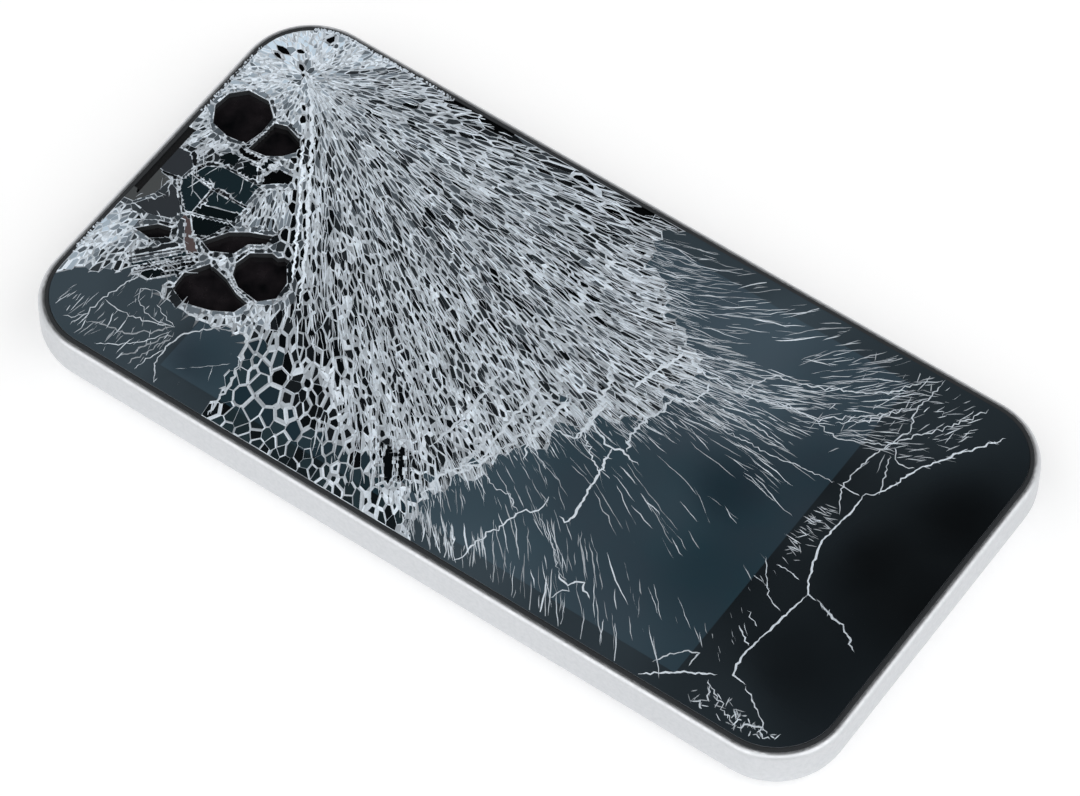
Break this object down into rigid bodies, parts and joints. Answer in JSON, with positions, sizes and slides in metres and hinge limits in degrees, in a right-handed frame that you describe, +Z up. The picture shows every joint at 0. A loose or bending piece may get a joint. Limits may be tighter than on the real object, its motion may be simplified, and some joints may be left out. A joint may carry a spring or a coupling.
{
  "type": "touchscreen phone with a shattered front glass",
  "caption": "Slim bar phone with a silver metal tub, a shattered black front glass over a dark display, side buttons, a card tray and sockets in its end.",
  "frame": {"origin": "middle of the flat back, which lies on the surface", "axes": "+Z up out of the screen; +Y towards the earpiece end; +X towards the side with the volume buttons and the card tray"},
  "size_m": [0.059, 0.1156, 0.0086],
  "materials": {
    "adhesive_white": "white film",
    "anodised_aluminium": "satin bead-blasted, silver anodised",
    "battery_foil": "dark laminated foil",
    "black_plastic": "moulded",
    "camera_glass": "coated, dark",
    "chip_epoxy": "moulded epoxy",
    "circuit_board": "green solder mask",
    "dark_mesh": "woven, blackened",
    "display_film": "gloss, dark teal with the display off",
    "flash_lens": "frosted pale yellow",
    "flex_film": "amber polyimide film",
    "front_glass": "polished, shattered, dark with the display off",
    "gold_contact": "plated",
    "light_film": "white diffusing film",
    "seal_rubber": "matt black moulded seal",
    "sensor_black": "gloss black film",
    "stainless_steel": "stamped, bright"
  },
  "bodies": {
    "phone": {"rear_housing": "anodised_aluminium", "bezel_seal": "seal_rubber", "glass_fragments": "front_glass", "glass_splinters": "front_glass", "touch_sensor": "sensor_black", "display_panel": "display_film", "backlight": "light_film", "display_frame": "black_plastic", "chassis_plate": "stainless_steel", "chassis_screws": "stainless_steel", "sim_socket": "stainless_steel", "charging_socket": "stainless_steel", "socket_strap": "stainless_steel", "socket_screws": "stainless_steel", "socket_board": "circuit_board", "headphone_jack": "black_plastic", "camera_ring": "stainless_steel", "camera_window": "camera_glass", "rear_camera": "black_plastic", "flash_window": "flash_lens", "flash_led": "flash_lens", "antenna_window": "black_plastic", "antenna_flex": "flex_film", "front_camera": "black_plastic", "light_sensor": "chip_epoxy", "earpiece": "black_plastic", "earpiece_mesh": "dark_mesh", "main_board": "circuit_board", "board_screws": "stainless_steel", "processor_shield": "stainless_steel", "processor_chips": "chip_epoxy", "radio_shield": "stainless_steel", "radio_chips": "chip_epoxy", "battery": "battery_foil", "battery_tape": "adhesive_white", "battery_lead": "flex_film", "battery_connector": "adhesive_white", "display_flex": "flex_film", "sensor_flex": "flex_film", "flex_connectors": "black_plastic", "switch_bracket": "stainless_steel", "volume_switches": "gold_contact", "power_bracket": "stainless_steel", "power_switch": "gold_contact", "loudspeaker": "black_plastic", "speaker_mesh": "dark_mesh", "microphone": "gold_contact", "microphone_flex": "flex_film", "vibration_motor": "stainless_steel", "motor_bracket": "stainless_steel"},
    "power_key": {"power_button": "anodised_aluminium"},
    "volume_up_key": {"volume_up_button": "anodised_aluminium"},
    "volume_down_key": {"volume_down_button": "anodised_aluminium"},
    "card_tray": {"sim_tray": "anodised_aluminium", "sim_card": "adhesive_white"}
  },
  "joints": [
    {"name": "power_press", "type": "slide", "parent": "phone", "child": "power_key", "axis": [0, -1, 0], "range_m": [0, 0.0003], "stiffness_N_per_m": 3000},
    {"name": "volume_up_press", "type": "slide", "parent": "phone", "child": "volume_up_key", "axis": [-1, 0, 0], "range_m": [0, 0.0003], "stiffness_N_per_m": 3000},
    {"name": "volume_down_press", "type": "slide", "parent": "phone", "child": "volume_down_key", "axis": [-1, 0, 0], "range_m": [0, 0.0003], "stiffness_N_per_m": 3000},
    {"name": "card_tray_slide", "type": "slide", "parent": "phone", "child": "card_tray", "axis": [1, 0, 0], "range_m": [0, 0.014]}
  ]
}
